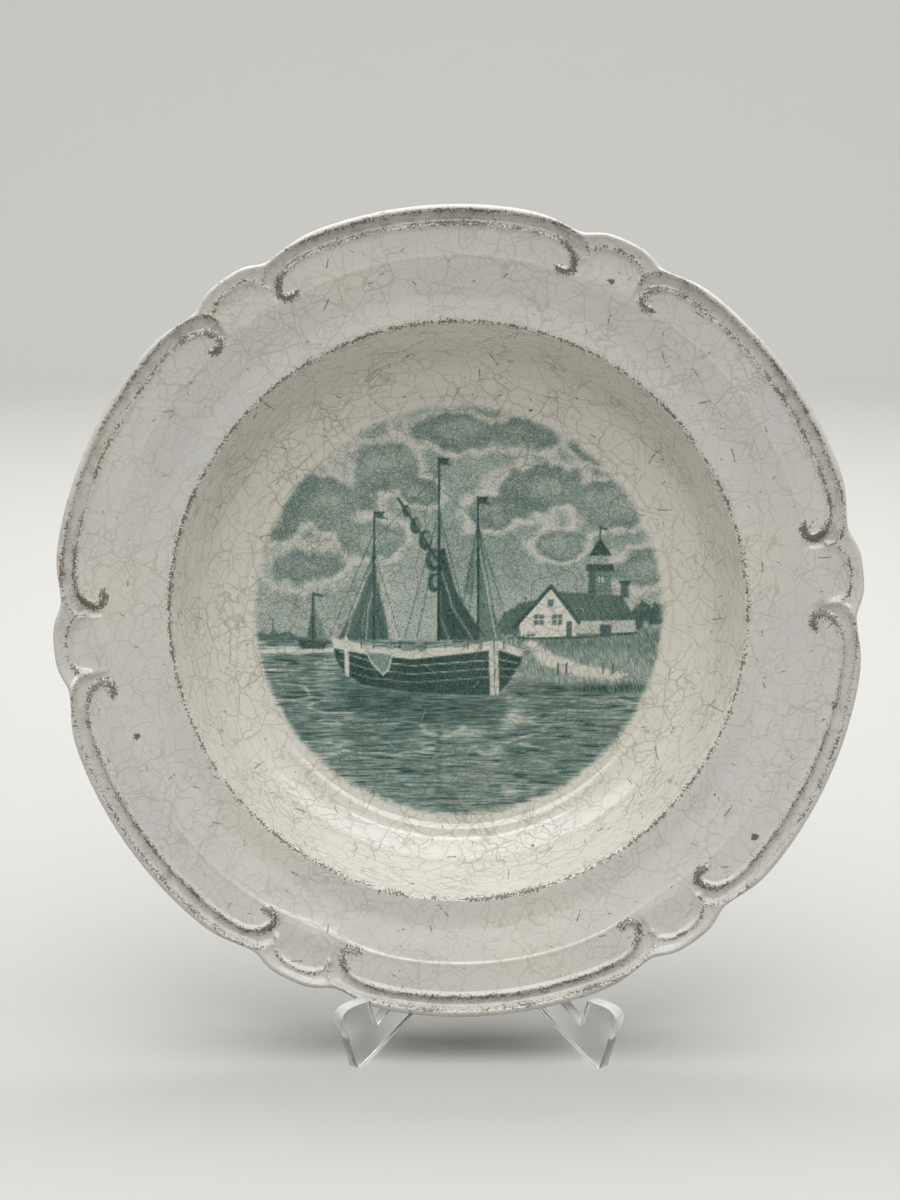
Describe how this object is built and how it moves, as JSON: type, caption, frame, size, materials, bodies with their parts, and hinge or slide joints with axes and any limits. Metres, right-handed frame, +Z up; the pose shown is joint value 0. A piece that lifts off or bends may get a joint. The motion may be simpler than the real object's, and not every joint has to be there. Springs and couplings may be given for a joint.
{
  "type": "souvenir plate",
  "caption": "Round glazed plate with a lobed, moulded rim and a printed harbour scene, leaning on a clear stand of crossed panels.",
  "frame": {"origin": "middle of the bounding box's base, on the surface the stand's feet rest on", "axes": "+Z up; the face of the plate looks along -Y and leans back towards +Y; +X to the right of someone facing the plate"},
  "size_m": [0.2394, 0.0858, 0.2486],
  "materials": {
    "glazed_earthenware": "glossy crazed off-white glaze with a printed scene in the well",
    "clear_acrylic": "clear, polished"
  },
  "bodies": {
    "lower_panel": {"stand_panel_lower": "clear_acrylic"},
    "upper_panel": {"stand_panel_upper": "clear_acrylic"},
    "plate": {"plate": "glazed_earthenware"}
  },
  "joints": [
    {"name": "upper_panel_lift", "type": "slide", "parent": "lower_panel", "child": "upper_panel", "axis": [0, 0, 1], "range_m": [0, 0.03]},
    {"name": "plate_lift", "type": "slide", "parent": "upper_panel", "child": "plate", "axis": [0, 0, 1], "range_m": [0, 0.12]}
  ]
}
